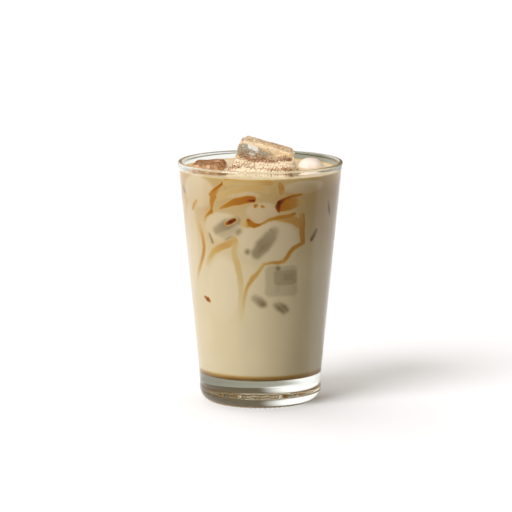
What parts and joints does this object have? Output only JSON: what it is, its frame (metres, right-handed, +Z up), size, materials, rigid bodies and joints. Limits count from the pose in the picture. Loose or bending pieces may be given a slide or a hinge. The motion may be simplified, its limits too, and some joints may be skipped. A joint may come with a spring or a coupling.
{
  "type": "iced latte",
  "caption": "Milky coffee with ice and ground spice in a tapered clear tumbler with a thick rounded base",
  "frame": {"origin": "centre of the glass's foot, on the plane that it stands on", "axes": "+Z up along the glass's axis, -Y towards the picture's camera, +X to its right"},
  "size_m": [0.086, 0.086, 0.1357],
  "materials": {
    "glass": "clear, fire-polished",
    "milky_coffee": "smooth milky liquid",
    "spiced_ice": "wet ice under ground spice",
    "milky_ice": "wet ice under milk"
  },
  "bodies": {
    "root": {"glass": "glass", "drink": "milky_coffee", "ice_back": "spiced_ice", "ice_front": "spiced_ice", "ice_left": "spiced_ice", "ice_right": "milky_ice"}
  },
  "joints": []
}
